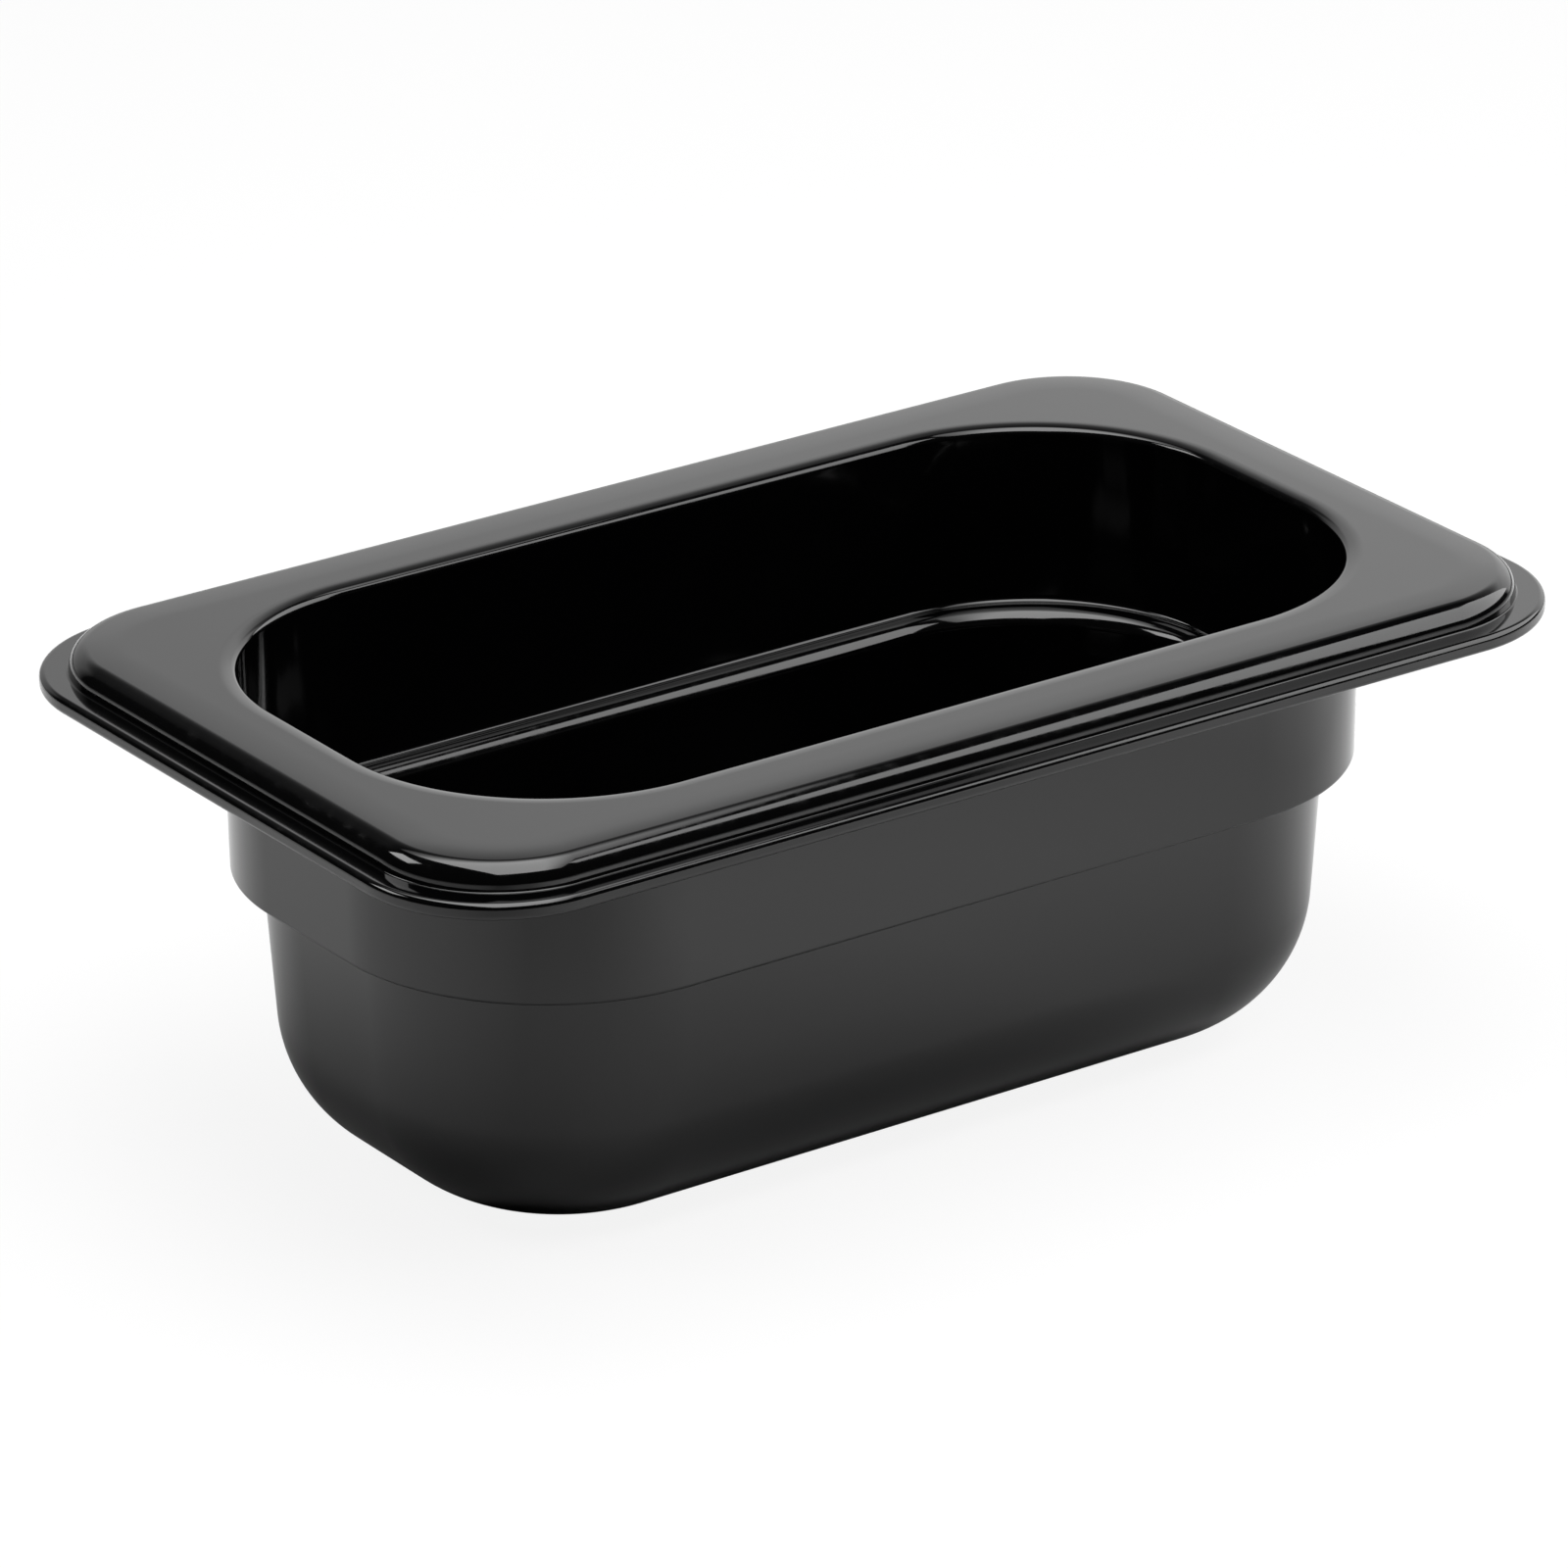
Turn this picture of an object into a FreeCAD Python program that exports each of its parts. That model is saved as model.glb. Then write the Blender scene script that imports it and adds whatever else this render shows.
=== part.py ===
import FreeCAD, Part
import math
import os
from FreeCAD import Vector

# Small deli food pan of the 1/9 gastronorm size, 65 mm deep, injection moulded
# in one shot of black polycarbonate.  Millimetres, +Z up, +X along the length.
# Origin: middle of the footprint, on the plane that the pan stands on.
#
# Every level of the pan is a rounded rectangle.  Four families of rounded
# rectangles are used, each with its own corner centres:
#   body     lower part of the cup, its rounded bottom and the base
#   collar   upper part of the cup, from the stacking shoulder to the opening
#   plateau  raised top of the rim, its skirt and the hollow under it
#   lip      thin flange all round the outside
# Inside one family the corners are concentric, so that one section line, given
# as (distance outward from the corner centre, height), makes the whole surface.

# ---------------------------------------------------------------- dimensions
LENGTH = 176.0            # over the lip
WIDTH = 108.0             # over the lip
HEIGHT = 65.0             # floor plane to the top of the rim

# lip: thin flange that hangs in the counter opening, lid seat on its top
LIP_CORNER_R = 19.0
LIP_BOTTOM_Z = 59.4
LIP_TOP_Z = 61.6
LIP_EDGE_R = 0.8          # rounding of the lip's two outer edges

# plateau: raised top of the rim
SEAT_WIDTH = 3.1          # width of the lid seat, from the lip's edge to the plateau wall
PLATEAU_CORNER_R = 17.35  # at the foot of the plateau wall
PLATEAU_DRAFT = 8.0       # degrees that the plateau wall leans inward
SEAT_FILLET_R = 0.25      # concave, lid seat to plateau wall
SHOULDER_R = 2.8          # convex, plateau wall to plateau top
CROWN_WIDTH = 4.8         # outer strip of the top that falls away to the outside
CROWN_DROP = 0.16         # how far it falls
SKIRT_T = 2.3             # wall thickness of the plateau's side at its foot
PLATE_T = 2.5             # thickness of the plateau's top
SKIRT_FILLET_R = 0.8      # concave, inside the hollow

# collar: upper part of the cup
COLLAR_HL = 74.8          # half length over its outside, under the rim
COLLAR_HW = 40.2          # half width over its outside, under the rim
COLLAR_CORNER_R = 30.8    # outside corner radius at the same level
COLLAR_DRAFT = 0.37       # taper over its height, each side
WALL_T = 2.0              # wall thickness of the cup
RIM_ROOT_R = 1.0          # concave, under the rim to the outside of the collar
MOUTH_CROWN_R = 9.0       # the top's inner strip falls away into the opening
MOUTH_CROWN_A = 11.5      # degrees of that arc
MOUTH_EDGE_R = 0.9        # then this tighter rounding into the collar's inside wall
SHOULDER_Z = 37.6         # outside stacking shoulder, underside of the collar
SHOULDER_EDGE_R = 1.5     # convex, collar to shoulder
SHOULDER_ROOT_R = 0.8     # concave, shoulder to body
LEDGE_Z = 40.4            # inside ledge
LEDGE_ROOT_R = 0.6        # concave, collar to ledge
LEDGE_EDGE_R = 2.3        # convex, ledge to the body's inside wall

# body: lower part of the cup
BODY_HL = 71.05           # half length over its outside, at the shoulder
BODY_HW = 36.5            # half width over its outside, at the shoulder
BODY_CORNER_R = 28.85
BODY_DRAFT = 3.9          # degrees that the body wall leans inward going down
BOTTOM_R = 19.2           # outside rounding from the body wall into the base
INNER_BOTTOM_R = 17.0
FLOOR_T = 2.4

# base: shallow recess that leaves a ring to stand on, and the gate mark
RECESS_INSET = 3.0        # from the end of the flat base to the recess
RECESS_DEPTH = 0.4
RECESS_FLANK = 0.4
GATE_R = 2.6
GATE_H = 0.25
GATE_DIMPLE_R = 1.1
GATE_DIMPLE_H = 0.15

# ------------------------------------------------------------- corner centres
LIP_C = (LENGTH / 2 - LIP_CORNER_R, WIDTH / 2 - LIP_CORNER_R)
PLT_C = (LENGTH / 2 - SEAT_WIDTH - PLATEAU_CORNER_R,
         WIDTH / 2 - SEAT_WIDTH - PLATEAU_CORNER_R)
COL_C = (COLLAR_HL - COLLAR_CORNER_R, COLLAR_HW - COLLAR_CORNER_R)
BOD_C = (BODY_HL - BODY_CORNER_R, BODY_HW - BODY_CORNER_R)


# ----------------------------------------------------------- section builder
class Section:
    """A section line made of straight runs and tangent arcs, as (s, z)."""

    def __init__(self, s, z):
        self.parts = []
        self.at = (s, z)
        self.first = (s, z)

    def line(self, s, z):
        if math.hypot(s - self.at[0], z - self.at[1]) > 1e-7:
            self.parts.append(("line", self.at, (s, z)))
        self.at = (s, z)
        return self

    def arc(self, centre, a0, a1, r):
        """Arc about centre from angle a0 to a1 in degrees, a straight run first."""
        def pt(a):
            return (centre[0] + r * math.cos(math.radians(a)),
                    centre[1] + r * math.sin(math.radians(a)))
        self.line(*pt(a0))
        self.parts.append(("arc", pt(a0), pt(0.5 * (a0 + a1)), pt(a1)))
        self.at = pt(a1)
        return self

    def edges(self):
        out = []
        for p in self.parts:
            v = [Vector(q[0], 0, q[1]) for q in p[1:]]
            if p[0] == "line":
                out.append(Part.LineSegment(v[0], v[1]).toShape())
            else:
                out.append(Part.Arc(v[0], v[1], v[2]).toShape())
        return out


def contour(cx, cy, s, z):
    """Closed rounded rectangle, corner radius s about the four centres."""
    k = s * math.sqrt(0.5)
    e = []

    def seg(a, b):
        e.append(Part.LineSegment(Vector(*a), Vector(*b)).toShape())

    def arc(a, b, c):
        e.append(Part.Arc(Vector(*a), Vector(*b), Vector(*c)).toShape())

    seg((cx + s, -cy, z), (cx + s, cy, z))
    arc((cx + s, cy, z), (cx + k, cy + k, z), (cx, cy + s, z))
    seg((cx, cy + s, z), (-cx, cy + s, z))
    arc((-cx, cy + s, z), (-cx - k, cy + k, z), (-cx - s, cy, z))
    seg((-cx - s, cy, z), (-cx - s, -cy, z))
    arc((-cx - s, -cy, z), (-cx - k, -cy - k, z), (-cx, -cy - s, z))
    seg((-cx, -cy - s, z), (cx, -cy - s, z))
    arc((cx, -cy - s, z), (cx + k, -cy - k, z), (cx + s, -cy, z))
    return Part.Wire(e)


def body_of(section, centre):
    """Solid bounded by the section carried round the rounded rectangle and by
    flat caps at the section's two ends."""
    cx, cy = centre
    faces = []
    for edge in section.edges():
        for k, (px, py) in enumerate(((cx, cy), (-cx, cy), (-cx, -cy), (cx, -cy))):
            corner = edge.copy()
            corner.rotate(Vector(0, 0, 0), Vector(0, 0, 1), 90.0 * k)
            corner.translate(Vector(px, py, 0))
            faces.append(corner.revolve(Vector(px, py, 0), Vector(0, 0, 1), 90.0))
        for k, (run, off) in enumerate(((cy, cx), (cx, cy), (cy, cx), (cx, cy))):
            side = edge.copy()
            side.translate(Vector(off, -run, 0))
            side = side.extrude(Vector(0, 2 * run, 0))
            side.rotate(Vector(0, 0, 0), Vector(0, 0, 1), 90.0 * k)
            faces.append(side)
    for s, z in (section.first, section.at):
        faces.append(Part.Face(contour(cx, cy, s, z)))
    flat = []
    for f in faces:
        flat.extend(f.Faces)
    shell = Part.makeShell(flat)
    shell.sewShape()
    solid = Part.makeSolid(shell)
    if solid.Volume < 0:
        solid.reverse()
    assert solid.isValid() and solid.isClosed()
    return solid


# ----------------------------------------------------------------------- lip
s = LIP_CORNER_R
r = LIP_EDGE_R
lip = Section(s - 4.5, LIP_BOTTOM_Z)
lip.arc((s - r, LIP_BOTTOM_Z + r), -90, 0, r)
lip.arc((s - r, LIP_TOP_Z - r), 0, 90, r)
lip.line(s - 4.5, LIP_TOP_Z)
lip_solid = body_of(lip, LIP_C)

# ------------------------------------------------------------------- plateau
# The wall leans inward from its foot.  The outer strip of the top is an arc that
# starts level and falls by CROWN_DROP; the shoulder arc joins it to the wall.
s = PLATEAU_CORNER_R
lean = math.radians(PLATEAU_DRAFT)
r = SEAT_FILLET_R
foot_c = (s + r / math.cos(lean) - r * math.tan(lean), LIP_TOP_Z + r)
crown_r = (CROWN_WIDTH ** 2 + CROWN_DROP ** 2) / (2 * CROWN_DROP)
crown_a = math.asin(CROWN_WIDTH / crown_r)                    # slope at its outer end
R = SHOULDER_R
shoulder_z = HEIGHT - CROWN_DROP - R * math.cos(crown_a)
shoulder_s = s - (shoulder_z - LIP_TOP_Z) * math.tan(lean) - R / math.cos(lean)
crown_in = shoulder_s + R * math.sin(crown_a) - CROWN_WIDTH
plateau = Section(foot_c[0], LIP_TOP_Z - 0.8)
plateau.line(foot_c[0], LIP_TOP_Z)
plateau.arc(foot_c, -90, -180 + PLATEAU_DRAFT, r)
plateau.arc((shoulder_s, shoulder_z), PLATEAU_DRAFT, 90 - math.degrees(crown_a), R)
plateau.arc((crown_in, HEIGHT - crown_r), 90 - math.degrees(crown_a), 90, crown_r)
plateau_solid = body_of(plateau, PLT_C)

# hollow under the rim, between the skirt and the collar
s = PLATEAU_CORNER_R - SKIRT_T
hollow = Section(s, LIP_BOTTOM_Z - 3.0)
hollow.arc((s - SKIRT_FILLET_R, HEIGHT - PLATE_T - SKIRT_FILLET_R), 0, 90, SKIRT_FILLET_R)
hollow_solid = body_of(hollow, PLT_C)

# --------------------------------------------------------------- cup, outside
collar_s = COLLAR_CORNER_R                      # outside wall under the rim
collar_low = collar_s - COLLAR_DRAFT            # outside wall at the shoulder
root_z = HEIGHT - PLATE_T - RIM_ROOT_R
collar = Section(collar_low - SHOULDER_EDGE_R, SHOULDER_Z)
collar.arc((collar_low - SHOULDER_EDGE_R, SHOULDER_Z + SHOULDER_EDGE_R), -90, 0, SHOULDER_EDGE_R)
collar.line(collar_s, root_z)
collar.arc((collar_s + RIM_ROOT_R, root_z), 180, 90, RIM_ROOT_R)
collar.line(collar_s + RIM_ROOT_R, HEIGHT - PLATE_T + 1.0)
collar_solid = body_of(collar, COL_C)

draft = math.radians(BODY_DRAFT)


def wall_at(s_top, z):
    """Body wall's distance from the corner centre at height z."""
    return s_top - (SHOULDER_Z - z) * math.tan(draft)


body_s = BODY_CORNER_R
bottom_s = wall_at(body_s, BOTTOM_R) - BOTTOM_R / math.cos(draft)
r = SHOULDER_ROOT_R
root_s = wall_at(body_s, SHOULDER_Z - r) + r / math.cos(draft)
body = Section(bottom_s, 0.0)
body.arc((bottom_s, BOTTOM_R), -90, -BODY_DRAFT, BOTTOM_R)
body.arc((root_s, SHOULDER_Z - r), 180 - BODY_DRAFT, 90, r)
body.line(root_s, SHOULDER_Z + 1.6)
body_solid = body_of(body, BOD_C)

# ---------------------------------------------------------------- cup, inside
inner_s = collar_s - WALL_T                     # collar's inside wall at its top
ledge_outer = inner_s - COLLAR_DRAFT            # collar's inside wall at the ledge
tip = math.radians(MOUTH_CROWN_A)
mouth_z = HEIGHT - MOUTH_CROWN_R + (MOUTH_CROWN_R - MOUTH_EDGE_R) * math.cos(tip)
mouth_s = inner_s + MOUTH_EDGE_R + (MOUTH_CROWN_R - MOUTH_EDGE_R) * math.sin(tip)
upper = Section(ledge_outer - LEDGE_ROOT_R, LEDGE_Z)
upper.arc((ledge_outer - LEDGE_ROOT_R, LEDGE_Z + LEDGE_ROOT_R), -90, 0, LEDGE_ROOT_R)
upper.arc((inner_s + MOUTH_EDGE_R, mouth_z), 180, 90 + MOUTH_CROWN_A, MOUTH_EDGE_R)
upper.arc((mouth_s, HEIGHT - MOUTH_CROWN_R), 90 + MOUTH_CROWN_A, 90, MOUTH_CROWN_R)
upper.line(mouth_s, HEIGHT + 4.0)
upper_cavity = body_of(upper, COL_C)

wall_in = body_s - WALL_T                       # body's inside wall at the shoulder
z = FLOOR_T + INNER_BOTTOM_R
floor_s = wall_at(wall_in, z) - INNER_BOTTOM_R / math.cos(draft)
r = LEDGE_EDGE_R
edge_s = wall_at(wall_in, LEDGE_Z - r) + r / math.cos(draft)
lower = Section(floor_s, FLOOR_T)
lower.arc((floor_s, z), -90, -BODY_DRAFT, INNER_BOTTOM_R)
lower.arc((edge_s, LEDGE_Z - r), 180 - BODY_DRAFT, 90, r)
lower.line(edge_s, LEDGE_Z + 1.6)
lower_cavity = body_of(lower, BOD_C)

# ----------------------------------------------------------------------- base
s = bottom_s - RECESS_INSET
recess = Section(s, -1.0)
recess.line(s, 0.0)
recess.line(s - RECESS_FLANK, RECESS_DEPTH)
recess_solid = body_of(recess, BOD_C)
gate = Part.makeCylinder(GATE_R, GATE_H + 0.6, Vector(0, 0, RECESS_DEPTH - GATE_H))
dimple = Part.makeCylinder(GATE_DIMPLE_R, GATE_DIMPLE_H + 1.0,
                           Vector(0, 0, RECESS_DEPTH - GATE_H - 1.0))

# ------------------------------------------------------------------- the pan
rim = lip_solid.fuse(plateau_solid).cut(hollow_solid)
cup = collar_solid.fuse(body_solid)
pan = rim.fuse(cup).cut(upper_cavity).cut(lower_cavity)
pan = pan.cut(recess_solid).fuse(gate).cut(dimple)
pan = pan.removeSplitter()
if pan.ShapeType != "Solid":
    assert len(pan.Solids) == 1
    pan = pan.Solids[0]
assert pan.isValid() and pan.isClosed()

os.makedirs("parts", exist_ok=True)
pan.exportStep("parts/pan.step")

box = pan.BoundBox
print("pan: faces %d  volume %.1f mm3  box %.3f x %.3f x %.3f" %
      (len(pan.Faces), pan.Volume, box.XLength, box.YLength, box.ZLength))
print("z from %.4f to %.4f" % (box.ZMin, box.ZMax))
print("mouth_s %.4f root_s %.4f edge_s %.4f bottom_s %.4f floor_s %.4f" %
      (mouth_s, root_s, edge_s, bottom_s, floor_s))
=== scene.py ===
import math

import bpy
import numpy as np
from mathutils import Matrix, Vector


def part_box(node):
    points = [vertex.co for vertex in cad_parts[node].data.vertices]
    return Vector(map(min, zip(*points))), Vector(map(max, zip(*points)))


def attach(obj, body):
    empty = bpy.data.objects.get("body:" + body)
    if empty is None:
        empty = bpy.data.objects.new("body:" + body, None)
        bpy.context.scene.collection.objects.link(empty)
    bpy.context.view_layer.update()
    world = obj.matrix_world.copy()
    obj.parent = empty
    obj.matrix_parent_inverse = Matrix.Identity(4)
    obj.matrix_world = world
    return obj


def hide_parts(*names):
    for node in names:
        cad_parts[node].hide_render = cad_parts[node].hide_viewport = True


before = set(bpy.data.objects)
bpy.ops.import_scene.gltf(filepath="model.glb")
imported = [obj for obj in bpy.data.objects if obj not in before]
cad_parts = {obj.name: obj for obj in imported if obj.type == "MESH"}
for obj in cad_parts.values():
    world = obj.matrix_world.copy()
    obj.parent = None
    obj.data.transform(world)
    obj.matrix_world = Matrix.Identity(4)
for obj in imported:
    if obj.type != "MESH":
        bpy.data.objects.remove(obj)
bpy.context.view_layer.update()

# Small deli food pan, moulded in one piece of glossy black polycarbonate.
# The visual piece follows the same section lines as the CAD solid, as one closed
# structured mesh with the exact surface normal at every corner of every face.

MM = 0.001
lo_pan, hi_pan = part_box("pan")
LENGTH = (hi_pan.x - lo_pan.x) / MM
WIDTH = (hi_pan.y - lo_pan.y) / MM
HEIGHT = (hi_pan.z - lo_pan.z) / MM

# ------------------------------------------------------------------ dimensions
LIP_CORNER_R = 19.0
LIP_BOTTOM_Z = 59.4
LIP_TOP_Z = 61.6
LIP_EDGE_R = 0.8
LIP_FOOT_R = 0.8
SEAT_WIDTH = 3.1
PLATEAU_CORNER_R = 17.35
PLATEAU_DRAFT = 8.0
SEAT_FILLET_R = 0.25
SHOULDER_R = 2.8
CROWN_WIDTH = 4.8
CROWN_DROP = 0.16
SKIRT_T = 2.3
PLATE_T = 2.5
SKIRT_FILLET_R = 0.8
COLLAR_HL = 74.8
COLLAR_HW = 40.2
COLLAR_CORNER_R = 30.8
COLLAR_DRAFT = 0.37
WALL_T = 2.0
RIM_ROOT_R = 1.0
MOUTH_CROWN_R = 9.0
MOUTH_CROWN_A = 11.5
MOUTH_EDGE_R = 0.9
SHOULDER_Z = 37.6
SHOULDER_EDGE_R = 0.6
SHOULDER_ROOT_R = 0.8
LEDGE_Z = 40.4
LEDGE_ROOT_R = 0.6
LEDGE_EDGE_R = 2.3
BODY_HL = 71.05
BODY_HW = 36.5
BODY_CORNER_R = 28.85
BODY_DRAFT = 3.9
BOTTOM_R = 19.2
INNER_BOTTOM_R = 17.0
FLOOR_T = 2.4
RECESS_INSET = 3.0
RECESS_DEPTH = 0.4
RECESS_FLANK = 0.4
GATE_R = 2.6
GATE_H = 0.25
GATE_DIMPLE_R = 1.1
GATE_DIMPLE_H = 0.15

LIP_C = (LENGTH / 2 - LIP_CORNER_R, WIDTH / 2 - LIP_CORNER_R)
PLT_C = (LENGTH / 2 - SEAT_WIDTH - PLATEAU_CORNER_R,
         WIDTH / 2 - SEAT_WIDTH - PLATEAU_CORNER_R)
COL_C = (COLLAR_HL - COLLAR_CORNER_R, COLLAR_HW - COLLAR_CORNER_R)
BOD_C = (BODY_HL - BODY_CORNER_R, BODY_HW - BODY_CORNER_R)

# Grey card that the gloss sees in the floor, painted with light and shade: across the view, painted shade in a band
# through the pan and painted light toward both sides, most toward the right softbox; a ring of painted light round
# the pan, a little darker under it; more painted light behind it.
FLOOR_PAINTED_SHADE_AND_LIGHT = [(-0.5, 0.80), (-0.2, 0.68), (-0.12, 0.54), (-0.05, 0.37), (0.0, 0.38), (0.02, 0.41),
              (0.045, 0.47), (0.07, 0.54), (0.16, 0.55), (0.25, 0.98)]
FLOOR_PAINTED_LIGHT_BEHIND = [(0.02, 1.0), (0.22, 1.5)]
FLOOR_PAINTED_LIGHT_RING = [(0.04, 0.85), (0.07, 1.18), (0.13, 1.2), (0.22, 1.0)]
INSIDE_ROUGH = 0.12   # the deep inside comes from a less polished core; the inside material also has its reflection turned down, as painted shade

CORNER_SEGS = 48      # per quarter turn
SIDE_SEGS = 12        # along each straight run


def ring(centre, s):
    """Unit outward directions and points of one rounded rectangle."""
    cx, cy = centre
    pts, dirs = [], []
    quads = ((cx, cy, 0), (-cx, cy, 90), (-cx, -cy, 180), (cx, -cy, 270))
    for k, (px, py, a0) in enumerate(quads):
        for i in range(CORNER_SEGS + 1):
            a = math.radians(a0 + 90.0 * i / CORNER_SEGS)
            c, n = math.cos(a), math.sin(a)
            pts.append((px + s * c, py + s * n))
            dirs.append((c, n))
        qx, qy, b0 = quads[(k + 1) % 4]
        a = math.radians(a0 + 90)
        c, n = math.cos(a), math.sin(a)
        for i in range(1, SIDE_SEGS):
            t = i / SIDE_SEGS
            pts.append((px + (qx - px) * t + s * c, py + (qy - py) * t + s * n))
            dirs.append((c, n))
    return np.array(pts), np.array(dirs)


class Skin:
    """Strips of quads between rounded-rectangle loops, with face-corner normals."""

    def __init__(self):
        self.rows = []        # (centre, s, z) of each loop
        self.tags = []        # (wear, inside) of each loop
        self.wear = 0.0
        self.inside = 0.0
        self.strips = []      # (row a, row b, normal at a, normal at b) as (ns, nz)

    def start(self, centre, s, z):
        self.rows.append((centre, s, z))
        self.tags.append((self.wear, self.inside))

    def to(self, centre, s, z, na, nb=None):
        c0, s0, z0 = self.rows[-1]
        if c0 == centre and math.hypot(s - s0, z - z0) < 1e-7:
            return
        self.rows.append((centre, s, z))
        self.tags.append((self.wear, self.inside))
        self.strips.append((len(self.rows) - 2, len(self.rows) - 1, na, nb or na))

    def line(self, centre, s, z, n=None, parts=1):
        c0, s0, z0 = self.rows[-1]
        if n is None:
            ds, dz = s - s0, z - z0
            h = math.hypot(ds, dz)
            if h < 1e-7:
                return
            n = (dz / h, -ds / h)
        for i in range(1, parts + 1):
            t = i / parts
            self.to(centre, s0 + (s - s0) * t, z0 + (z - z0) * t, n)

    def arc(self, centre, o, a0, a1, r, parts):
        """Tangent arc about o.  Turning left is convex, turning right concave."""
        convex = a1 > a0
        k = 1.0 if convex else -1.0

        def at(a):
            a = math.radians(a)
            return (o[0] + r * math.cos(a), o[1] + r * math.sin(a)), (k * math.cos(a), k * math.sin(a))
        (s, z), n = at(a0)
        self.line(centre, s, z)
        for i in range(1, parts + 1):
            (s, z), m = at(a0 + (a1 - a0) * i / parts)
            # convex edges rub against things, most in the middle of the rounding
            self.wear = math.sin(math.pi * i / parts) * (1.0 if convex and r < 3.0 else 0.0)
            self.to(centre, s, z, n, m)
            n = m
        self.wear = 0.0


def rim_and_body():
    k = Skin()
    draft = math.radians(BODY_DRAFT)

    def wall_at(s_top, z):
        return s_top - (SHOULDER_Z - z) * math.tan(draft)

    collar_s = COLLAR_CORNER_R
    collar_low = collar_s - COLLAR_DRAFT
    root_z = HEIGHT - PLATE_T - RIM_ROOT_R
    bottom_s = wall_at(BODY_CORNER_R, BOTTOM_R) - BOTTOM_R / math.cos(draft)
    inner_s = collar_s - WALL_T
    ledge_outer = inner_s - COLLAR_DRAFT
    wall_in = BODY_CORNER_R - WALL_T
    B, C, P, L = BOD_C, COL_C, PLT_C, LIP_C

    # underside, from the recess out
    s = bottom_s - RECESS_INSET
    k.start(B, s - RECESS_FLANK, RECESS_DEPTH)
    k.line(B, s, 0.0)
    k.arc(B, (bottom_s, BOTTOM_R), -90, -BODY_DRAFT, BOTTOM_R, 40)
    r = SHOULDER_ROOT_R
    root_s = wall_at(BODY_CORNER_R, SHOULDER_Z - r) + r / math.cos(draft)
    k.arc(B, (root_s, SHOULDER_Z - r), 180 - BODY_DRAFT, 90, r, 10)
    k.line(C, collar_low - SHOULDER_EDGE_R, SHOULDER_Z, n=(0, -1))
    k.arc(C, (collar_low - SHOULDER_EDGE_R, SHOULDER_Z + SHOULDER_EDGE_R), -90, 0, SHOULDER_EDGE_R, 18)
    k.line(C, collar_s, root_z)
    k.arc(C, (collar_s + RIM_ROOT_R, root_z), 180, 90, RIM_ROOT_R, 10)
    # hollow under the rim
    s = PLATEAU_CORNER_R - SKIRT_T
    top = HEIGHT - PLATE_T
    k.line(P, s - SKIRT_FILLET_R, top, n=(0, -1))
    k.arc(P, (s - SKIRT_FILLET_R, top - SKIRT_FILLET_R), 90, 0, SKIRT_FILLET_R, 10)
    k.line(P, s, LIP_BOTTOM_Z)
    # lip
    s, r, q = LIP_CORNER_R, LIP_EDGE_R, LIP_FOOT_R
    k.line(L, s - q, LIP_BOTTOM_Z, n=(0, -1))
    k.arc(L, (s - q, LIP_BOTTOM_Z + q), -90, 0, q, 12)
    k.arc(L, (s - r, LIP_TOP_Z - r), 0, 90, r, 14)
    # lid seat, plateau wall, shoulder, crown
    s, r, d = PLATEAU_CORNER_R, SEAT_FILLET_R, PLATEAU_DRAFT
    lean = math.radians(d)
    fc = (s + r / math.cos(lean) - r * math.tan(lean), LIP_TOP_Z + r)
    k.line(P, fc[0], LIP_TOP_Z, n=(0, 1), parts=1)
    k.arc(P, fc, -90, -180 + d, r, 10)
    crown_r = (CROWN_WIDTH ** 2 + CROWN_DROP ** 2) / (2 * CROWN_DROP)
    crown_a = math.asin(CROWN_WIDTH / crown_r)
    R = SHOULDER_R
    cz = HEIGHT - CROWN_DROP - R * math.cos(crown_a)
    # the shoulder arc's centre lies inward of the leaning wall by its radius
    cs = s - (cz - LIP_TOP_Z) * math.tan(lean) - R / math.cos(lean)
    k.arc(P, (cs, cz), d, 90 - math.degrees(crown_a), R, 28)
    crown_in = cs + R * math.sin(crown_a) - CROWN_WIDTH
    k.arc(P, (crown_in, HEIGHT - crown_r), 90 - math.degrees(crown_a), 90, crown_r, 10)
    # mouth, inside of the collar
    tip = math.radians(MOUTH_CROWN_A)
    mouth_z = HEIGHT - MOUTH_CROWN_R + (MOUTH_CROWN_R - MOUTH_EDGE_R) * math.cos(tip)
    mouth_s = inner_s + MOUTH_EDGE_R + (MOUTH_CROWN_R - MOUTH_EDGE_R) * math.sin(tip)
    k.line(C, mouth_s, HEIGHT, n=(0, 1))
    k.arc(C, (mouth_s, HEIGHT - MOUTH_CROWN_R), 90, 90 + MOUTH_CROWN_A, MOUTH_CROWN_R, 8)
    k.arc(C, (inner_s + MOUTH_EDGE_R, mouth_z), 90 + MOUTH_CROWN_A, 180, MOUTH_EDGE_R, 16)
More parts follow.
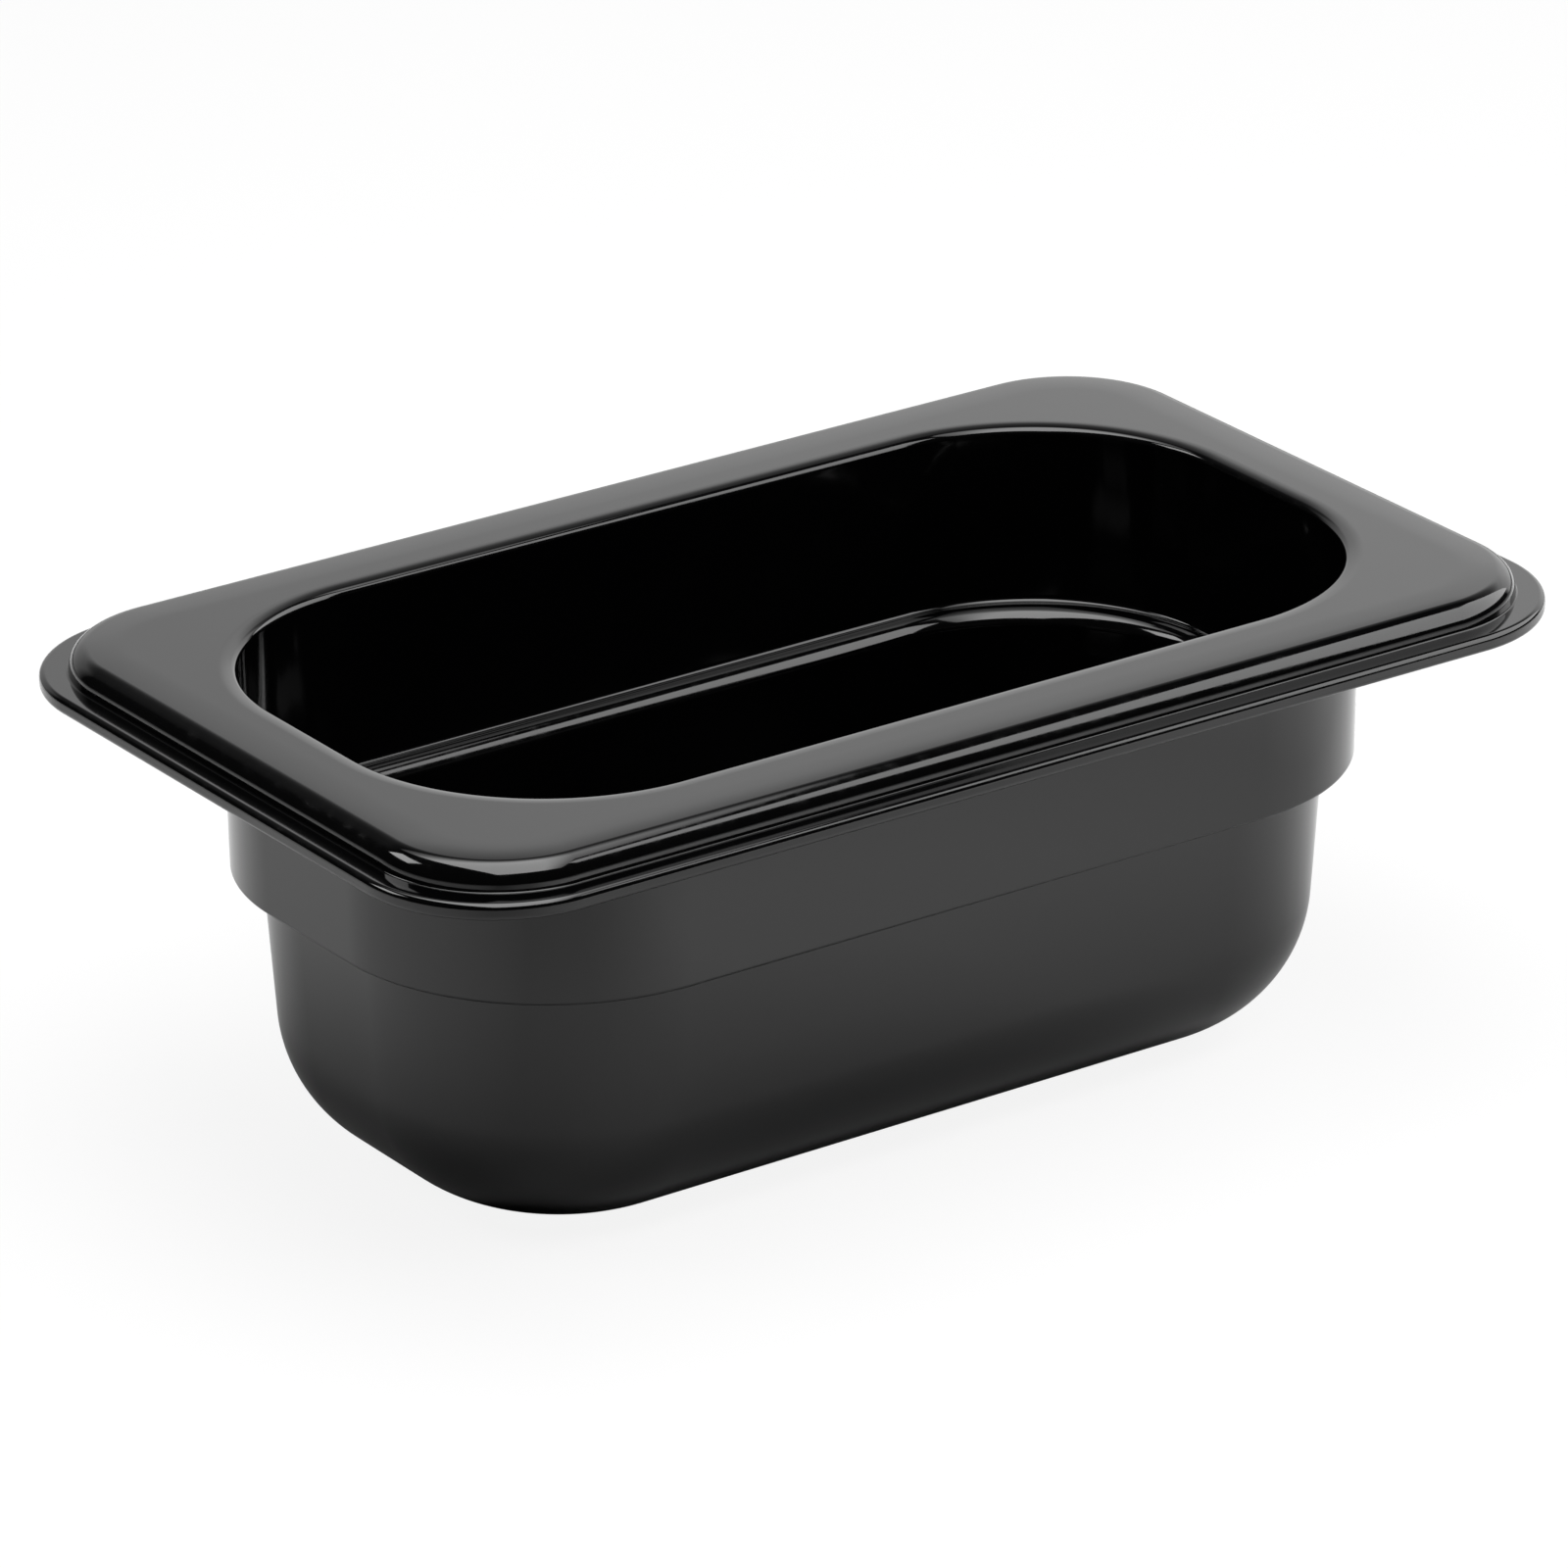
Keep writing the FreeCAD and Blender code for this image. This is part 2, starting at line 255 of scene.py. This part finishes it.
    # collar's inside wall, ledge, body's inside wall, inner bottom
    k.line(C, inner_s - 0.02 * COLLAR_DRAFT, HEIGHT - 1.6)
    k.inside = 1.0
    k.line(C, ledge_outer + 0.05 * COLLAR_DRAFT, LEDGE_Z + 2.4)
    k.inside = 0.0
    k.arc(C, (ledge_outer - LEDGE_ROOT_R, LEDGE_Z + LEDGE_ROOT_R), 0, -90, LEDGE_ROOT_R, 10)
    r = LEDGE_EDGE_R
    edge_s = wall_at(wall_in, LEDGE_Z - r) + r / math.cos(draft)
    k.line(B, edge_s, LEDGE_Z, n=(0, 1))
    k.arc(B, (edge_s, LEDGE_Z - r), 90, 180 - BODY_DRAFT, r, 20)
    z = FLOOR_T + INNER_BOTTOM_R
    floor_s = wall_at(wall_in, z) - INNER_BOTTOM_R / math.cos(draft)
    k.inside = 1.0
    k.line(B, wall_at(wall_in, LEDGE_Z - 5.5), LEDGE_Z - 5.5)
    k.arc(B, (floor_s, z), -BODY_DRAFT, -90, INNER_BOTTOM_R, 36)
    return k


def skin_mesh(name):
    k = rim_and_body()
    verts, faces, normals = [], [], []
    n = 4 * (CORNER_SEGS + SIDE_SEGS)
    base = []
    dirs = None
    for centre, s, z in k.rows:
        pts, dirs = ring(centre, s)
        base.append(len(verts))
        verts.extend((x, y, z) for x, y in pts)
    for a, b, na, nb in k.strips:
        A, B = base[a], base[b]
        for i in range(n):
            j = (i + 1) % n
            faces.append((A + i, A + j, B + j, B + i))
            for (p, m) in ((i, na), (j, na), (j, nb), (i, nb)):
                dx, dy = dirs[p]
                normals.append((m[0] * dx, m[0] * dy, m[1]))

    def flat(loop_a, ring_b, z, nz, flip):
        """Strip of flat quads from a loop of vertices to a new ring of points."""
        start = len(verts)
        verts.extend((x, y, z) for x, y in ring_b)
        for i in range(n):
            j = (i + 1) % n
            q = (loop_a[i], loop_a[j], start + j, start + i)
            faces.append(q[::-1] if flip else q)
            normals.extend([(0, 0, nz)] * 4)
        return [start + i for i in range(n)]

    def fan(loop, z, nz, flip):
        c = len(verts)
        verts.append((0, 0, z))
        for i in range(n):
            j = (i + 1) % n
            t = (loop[i], loop[j], c)
            faces.append(t[::-1] if flip else t)
            normals.extend([(0, 0, nz)] * 3)

    def wall(loop_a, z, sign, flip):
        start = len(verts)
        xy = [verts[v][:2] for v in loop_a]
        verts.extend((x, y, z) for x, y in xy)
        for i in range(n):
            j = (i + 1) % n
            q = (loop_a[i], loop_a[j], start + j, start + i)
            u = []
            for m in (i, j, j, i):
                x, y = xy[m]
                h = math.hypot(x, y)
                u.append((sign * x / h, sign * y / h, 0))
            if flip:
                q, u = q[::-1], u[::-1]
            faces.append(q)
            normals.extend(u)
        return [start + i for i in range(n)]

    def circle(r, pts):
        out = []
        for x, y in pts:
            h = math.hypot(x, y)
            out.append((r * x / h, r * y / h))
        return out

    # floor inside: from the last loop to the middle
    last = [base[-1] + i for i in range(n)]
    z = k.rows[-1][2]
    pts = [verts[v][:2] for v in last]
    mid = flat(last, circle(6.0, pts), z, 1, False)
    fan(mid, z, 1, False)
    # underside: recess ceiling with the gate mark in its middle
    first = [base[0] + i for i in range(n)]
    pts = [verts[v][:2] for v in first]
    z = RECESS_DEPTH
    g = flat(first, circle(GATE_R, pts), z, -1, True)
    g = wall(g, z - GATE_H, 1, True)
    z -= GATE_H
    g = flat(g, circle(GATE_DIMPLE_R, pts), z, -1, True)
    g = wall(g, z + GATE_DIMPLE_H, -1, True)
    fan(g, z + GATE_DIMPLE_H, -1, True)

    me = bpy.data.meshes.new(name)
    co = [(x * MM, y * MM, z * MM + lo_pan.z) for x, y, z in verts]
    me.from_pydata(co, [], faces)
    me.polygons.foreach_set("use_smooth", [True] * len(faces))
    me.update()
    tag = me.attributes.new("wear", "FLOAT", "POINT")
    vals = [t[0] for t in k.tags for _ in range(n)]
    vals += [0.0] * (len(verts) - len(vals))
    tag.data.foreach_set("value", vals)
    # second material: the rougher inside, walls and floor, with its reflection turned down as painted shade
    mat = []
    for a, b, na, nb in k.strips:
        mat += [1 if min(k.tags[a][1], k.tags[b][1]) > 0.5 else 0] * n
    mat += [1] * (2 * n)
    mat += [0] * (len(faces) - len(mat))
    me.polygons.foreach_set("material_index", mat)
    me.normals_split_custom_set([Vector(v).normalized() for v in normals])
    ob = bpy.data.objects.new(name, me)
    bpy.context.scene.collection.objects.link(ob)
    return ob


# ------------------------------------------------------------------- materials
class Nodes:
    """Small helper for writing node trees."""

    def __init__(self, tree):
        self.t = tree
        tree.nodes.clear()

    def new(self, kind, **kw):
        nd = self.t.nodes.new(kind)
        for a, b in kw.items():
            setattr(nd, a, b)
        return nd

    def put(self, socket, value):
        if isinstance(value, bpy.types.NodeSocket):
            self.t.links.new(value, socket)
        else:
            socket.default_value = value

    def math(self, op, a, b=0.0, c=0.0, clamp=False):
        nd = self.new("ShaderNodeMath", operation=op, use_clamp=clamp)
        for s, v in zip(nd.inputs, (a, b, c)):
            self.put(s, v)
        return nd.outputs[0]

    def dot(self, a, v):
        nd = self.new("ShaderNodeVectorMath", operation="DOT_PRODUCT")
        self.put(nd.inputs[0], a)
        self.put(nd.inputs[1], v)
        return nd.outputs["Value"]

    def step(self, x, a, b, lo=0.0, hi=1.0):
        """Smooth step from lo at a to hi at b."""
        nd = self.new("ShaderNodeMapRange", interpolation_type="SMOOTHSTEP")
        self.put(nd.inputs[0], x)
        for i, v in zip((1, 2, 3, 4), (a, b, lo, hi)):
            self.put(nd.inputs[i], v)
        return nd.outputs[0]

    def curve(self, x, pts):
        """Piecewise-linear value of x through pts, as a sum of clamped ramps."""
        total = None
        for (xa, ya), (xb, yb) in zip(pts, pts[1:]):
            nd = self.new("ShaderNodeMapRange", interpolation_type="LINEAR")
            self.put(nd.inputs[0], x)
            for i, v in zip((1, 2, 3, 4), (xa, xb, 0.0, yb - ya)):
                nd.inputs[i].default_value = v
            total = nd.outputs[0] if total is None else self.math("ADD", total, nd.outputs[0])
        return self.math("ADD", total, pts[0][1])


def gloss_black(name, extra_rough, level):
    """Black polycarbonate from a polished mould: slow waviness left by the mould
    and by shrinkage, roughness that varies in soft patches, fine handling
    scratches along the rim and a little rubbing on the convex edges."""
    m = bpy.data.materials.new(name)
    m.use_nodes = True
    k = Nodes(m.node_tree)
    out = k.new("ShaderNodeOutputMaterial")
    b = k.new("ShaderNodeBsdfPrincipled")
    k.put(out.inputs["Surface"], b.outputs[0])
    pos = k.new("ShaderNodeTexCoord").outputs["Object"]

    def stretched(scale, turn=0.0):
        mp = k.new("ShaderNodeMapping")
        k.put(mp.inputs["Vector"], pos)
        mp.inputs["Rotation"].default_value = (0, 0, turn)
        mp.inputs["Scale"].default_value = scale
        return mp.outputs[0]

    def noise(vec, scale, detail=3.0, rough=0.5):
        nd = k.new("ShaderNodeTexNoise")
        k.put(nd.inputs["Vector"], vec)
        nd.inputs["Scale"].default_value = scale
        nd.inputs["Detail"].default_value = detail
        nd.inputs["Roughness"].default_value = rough
        return nd.outputs[0]

    def tag(label):
        nd = k.new("ShaderNodeAttribute", attribute_name=label)
        return nd.outputs["Fac"]

    wear = tag("wear")
    patches = noise(pos, 55.0, 3.0)                       # about 2 cm
    grain = noise(pos, 1900.0, 4.0, 0.6)                  # about 0.5 mm
    waves = noise(pos, 95.0, 1.0)                         # about 1 cm, mould waviness
    hair_a = noise(stretched((25.0, 2100.0, 2100.0), 0.12), 1.0, 2.0)
    hair_b = noise(stretched((2300.0, 40.0, 2300.0), -0.3), 1.0, 2.0)
    scratch = k.math("ADD", k.step(hair_a, 0.69, 0.74), k.step(hair_b, 0.71, 0.76))
    scratch = k.math("MULTIPLY", scratch, k.step(noise(pos, 38.0, 1.0), 0.42, 0.62))
    rub = k.math("MULTIPLY", wear, k.step(noise(pos, 420.0, 3.0), 0.45, 0.7))

    rough = k.math("ADD", k.step(patches, 0.35, 0.68, 0.045, 0.075), k.math("MULTIPLY", grain, 0.012))
    rough = k.math("ADD", rough, k.math("MULTIPLY", scratch, 0.07))
    rough = k.math("ADD", rough, k.math("MULTIPLY", rub, 0.06))
    rough = k.math("ADD", rough, extra_rough)
    k.put(b.inputs["Roughness"], rough)

    ramp = k.new("ShaderNodeMix", data_type="RGBA")
    k.put(ramp.inputs["Factor"], k.math("ADD", k.math("MULTIPLY", patches, 0.8), k.math("MULTIPLY", rub, 0.5), clamp=True))
    ramp.inputs[6].default_value = (0.0005, 0.0005, 0.0006, 1)
    ramp.inputs[7].default_value = (0.0014, 0.0014, 0.0015, 1)
    k.put(b.inputs["Base Color"], ramp.outputs[2])
    b.inputs["IOR"].default_value = 1.585
    b.inputs["Specular IOR Level"].default_value = level

    slow = k.new("ShaderNodeBump")
    slow.inputs["Strength"].default_value = 1.0
    slow.inputs["Distance"].default_value = 0.0000055
    k.put(slow.inputs["Height"], waves)
    fine = k.new("ShaderNodeBump")
    fine.inputs["Strength"].default_value = 1.0
    fine.inputs["Distance"].default_value = 0.0000005
    k.put(fine.inputs["Height"], k.math("SUBTRACT", grain, k.math("MULTIPLY", scratch, 0.5)))
    k.put(fine.inputs["Normal"], slow.outputs[0])
    k.put(b.inputs["Normal"], fine.outputs[0])
    return m


# -------------------------------------------------------------------- the pan
pan = skin_mesh("pan_shell")
pan.data.materials.append(gloss_black("black_polycarbonate_gloss", 0.0, 0.5))
# inside copy: rougher, and reflecting much less than the outside, which is painted shade on the inside walls and
# floor
pan.data.materials.append(gloss_black("black_polycarbonate_inside_painted_shade", INSIDE_ROUGH, 0.1))
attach(pan, "root")
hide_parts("pan")

# ------------------------------------------------------------------ the camera
az, el, roll = math.radians(-34.875), math.radians(22.938), math.radians(-0.494)
back = Vector((math.sin(az) * math.cos(el), -math.cos(az) * math.cos(el), math.sin(el)))
right = Vector((math.cos(az), math.sin(az), 0))
up = back.cross(right)
r_ax = right * math.cos(roll) + up * math.sin(roll)
u_ax = -right * math.sin(roll) + up * math.cos(roll)
cam_data = bpy.data.cameras.new("camera")
cam = bpy.data.objects.new("camera", cam_data)
bpy.context.scene.collection.objects.link(cam)
cam_data.sensor_width = 36.0
cam_data.lens = 10289.3 * 36.0 / 1600.0
cam_data.clip_start, cam_data.clip_end = 0.05, 100.0
target = Vector((0.00069, 0.00391, 0.03881))
place = target + back * 1.2919 - r_ax * 0.000252 - u_ax * 0.000209
m = Matrix.Identity(4)
for i in range(3):
    m[i][0], m[i][1], m[i][2], m[i][3] = r_ax[i], u_ax[i], back[i], place[i]
cam.matrix_world = m
bpy.context.scene.camera = cam

# ----------------------------------------------------------------- the studio
AWAY = Vector((-back.x, -back.y, 0)).normalized()
SIDE = Vector((AWAY.y, -AWAY.x, 0))


def studio_world():
    w = bpy.data.worlds.new("studio")
    bpy.context.scene.world = w
    w.use_nodes = True
    k = Nodes(w.node_tree)
    out = k.new("ShaderNodeOutputWorld")
    tc = k.new("ShaderNodeTexCoord")
    d = tc.outputs["Generated"]
    a = k.dot(d, tuple(AWAY))
    s = k.dot(d, tuple(SIDE))
    z = k.dot(d, (0, 0, 1))
    phi = k.math("MULTIPLY", k.math("ARCTAN2", s, a), 180 / math.pi)
    elev = k.math("MULTIPLY", k.math("ARCSINE", z), 180 / math.pi)
    across = k.curve(phi, [(-60, 0.0), (-45, 0.42), (-20, 0.6), (-6, 0.84), (-2.2, 0.91), (0, 1.0), (3.4, 1.1), (12, 1.2),
                           (25, 1.2), (42, 1.05), (49, 0.0)])
    upward = k.curve(elev, [(20.5, 1.12), (22, 1.04), (23.2, 1.0), (26, 1.0), (31, 0.45), (34, 0.22), (40, 0.1), (46, 0.0)])
    card = k.math("MULTIPLY", across, upward)
    val = k.math("ADD", card, 0.018)
    lp = k.new("ShaderNodeLightPath")
    mix = k.new("ShaderNodeMixShader")
    bg1 = k.new("ShaderNodeBackground")
    bg1.inputs[0].default_value = (1, 1, 1, 1)
    k.put(bg1.inputs[1], val)
    bg2 = k.new("ShaderNodeBackground")
    bg2.inputs[0].default_value = (1, 1, 1, 1)
    bg2.inputs[1].default_value = 1.0
    k.put(mix.inputs[0], lp.outputs["Is Camera Ray"])
    k.put(mix.inputs[1], bg1.outputs[0])
    k.put(mix.inputs[2], bg2.outputs[0])
    k.put(out.inputs["Surface"], mix.outputs[0])


def panel(name, centre, x_axis, y_axis, w, h, strength, fade_x=None, fade_y=None):
    """Emissive rectangle that the camera itself doesn't see.  Each fade is a
    curve of brightness over the distance in from the +x or +y edge."""
    x, y = Vector(x_axis).normalized(), Vector(y_axis).normalized()
    me = bpy.data.meshes.new(name)
    c = Vector(centre)
    co = [c - x * w / 2 - y * h / 2, c + x * w / 2 - y * h / 2, c + x * w / 2 + y * h / 2, c - x * w / 2 + y * h / 2]
    me.from_pydata(co, [], [(0, 1, 2, 3)])
    ob = bpy.data.objects.new(name, me)
    bpy.context.scene.collection.objects.link(ob)
    mt = bpy.data.materials.new(name)
    mt.use_nodes = True
    k = Nodes(mt.node_tree)
    out = k.new("ShaderNodeOutputMaterial")
    em = k.new("ShaderNodeEmission")
    at = k.new("ShaderNodeTexCoord").outputs["Object"]
    level = None
    for axis, half, fade in ((x, w / 2, fade_x), (y, h / 2, fade_y)):
        if fade:
            inward = k.math("SUBTRACT", c.dot(axis) + half, k.dot(at, tuple(axis)))
            part = k.curve(inward, fade)
            level = part if level is None else k.math("MULTIPLY", level, part)
    k.put(em.inputs[1], strength if level is None else k.math("MULTIPLY", level, strength))
    k.put(out.inputs["Surface"], em.outputs[0])
    me.materials.append(mt)
    ob.visible_camera = False
    ob.visible_shadow = False
    return ob


def ra(r, a, z):
    """Point from its distance to the camera's right, away from the camera, and up."""
    return SIDE * r + AWAY * a + Vector((0, 0, z))


studio_world()
H = 0.56
# overhead softbox
turn = math.radians(13)
fwd = Vector((math.sin(turn), math.cos(turn), 0))
sid = Vector((fwd.y, -fwd.x, 0))
e1 = Vector((0.264, -0.026, 0))
centre1 = Vector((e1.x, e1.y, H)) - sid * 0.25 + fwd * (-0.05)
panel("light_top", centre1, sid, fwd, 0.50, 0.86, 4.6,
      fade_x=[(0.0, 0.3), (0.05, 0.45), (0.16, 1.0)],
      fade_y=[(0.0, 0.08), (0.10, 0.25), (0.26, 1.0)])
# right softbox, standing
panel("light_right", ra(0.6, 0.19, 0.56), AWAY, (0, 0, 1), 0.74, 0.72, 3.1)
# small left softbox
dl = math.radians(-85)
dirl = AWAY * math.cos(dl) + SIDE * math.sin(dl)
cl = dirl * 0.9 + Vector((0, 0, 0.06 + 0.9 * math.tan(math.radians(38))))
nl = (Vector((0, 0, 0.06)) - cl).normalized()
xl = nl.cross(Vector((0, 0, 1))).normalized()
yl = xl.cross(nl).normalized()
panel("light_left", cl, xl, yl, 0.46, 0.30, 5.0)

# floor
fl = bpy.data.meshes.new("floor")
S = 6.0
fl.from_pydata([(-S, -S, 0), (S, -S, 0), (S, S, 0), (-S, S, 0)], [], [(0, 1, 2, 3)])
floor = bpy.data.objects.new("floor", fl)
bpy.context.scene.collection.objects.link(floor)
fm = bpy.data.materials.new("floor_pale")
fm.use_nodes = True
kf = Nodes(fm.node_tree)
fo = kf.new("ShaderNodeOutputMaterial")
# Pale seamless floor.  It is lit from within a little, so that the shadow under
# the pan stays light; what the gloss picks up from it is a grey card painted with
# light and shade: lighter toward the big standing softbox, round the pan and behind it, darker along the pan.
where = kf.new("ShaderNodeTexCoord").outputs["Object"]
side = kf.dot(where, tuple(SIDE))
# painted shade in a band along the pan, painted light toward the sides
painted_shade_and_light = kf.curve(side, FLOOR_PAINTED_SHADE_AND_LIGHT)
out_from = kf.new("ShaderNodeVectorMath", operation="LENGTH")
kf.put(out_from.inputs[0], where)
# painted light in a ring round the pan, slightly darker right under it
painted_light_ring = kf.curve(out_from.outputs["Value"], FLOOR_PAINTED_LIGHT_RING)
painted_shade_and_light = kf.math("MULTIPLY", painted_shade_and_light, painted_light_ring)
# painted light behind the pan
painted_shade_and_light = kf.math("MULTIPLY", painted_shade_and_light, kf.curve(kf.dot(where, tuple(AWAY)), FLOOR_PAINTED_LIGHT_BEHIND))
seen = kf.new("ShaderNodeAddShader")
glow = kf.new("ShaderNodeEmission")
glow.inputs[1].default_value = 0.88
pale = kf.new("ShaderNodeBsdfDiffuse")
pale.inputs[0].default_value = (0.11, 0.11, 0.11, 1)
kf.put(seen.inputs[0], glow.outputs[0])
kf.put(seen.inputs[1], pale.outputs[0])
card = kf.new("ShaderNodeBsdfDiffuse")
grey = kf.new("ShaderNodeCombineXYZ")
for i in range(3):
    kf.put(grey.inputs[i], painted_shade_and_light)
kf.put(card.inputs[0], grey.outputs[0])
pick = kf.new("ShaderNodeMixShader")
kf.put(pick.inputs[0], kf.new("ShaderNodeLightPath").outputs["Is Camera Ray"])
kf.put(pick.inputs[1], card.outputs[0])
kf.put(pick.inputs[2], seen.outputs[0])
kf.put(fo.inputs["Surface"], pick.outputs[0])
fl.materials.append(fm)

bpy.context.scene.view_settings.view_transform = "Standard"
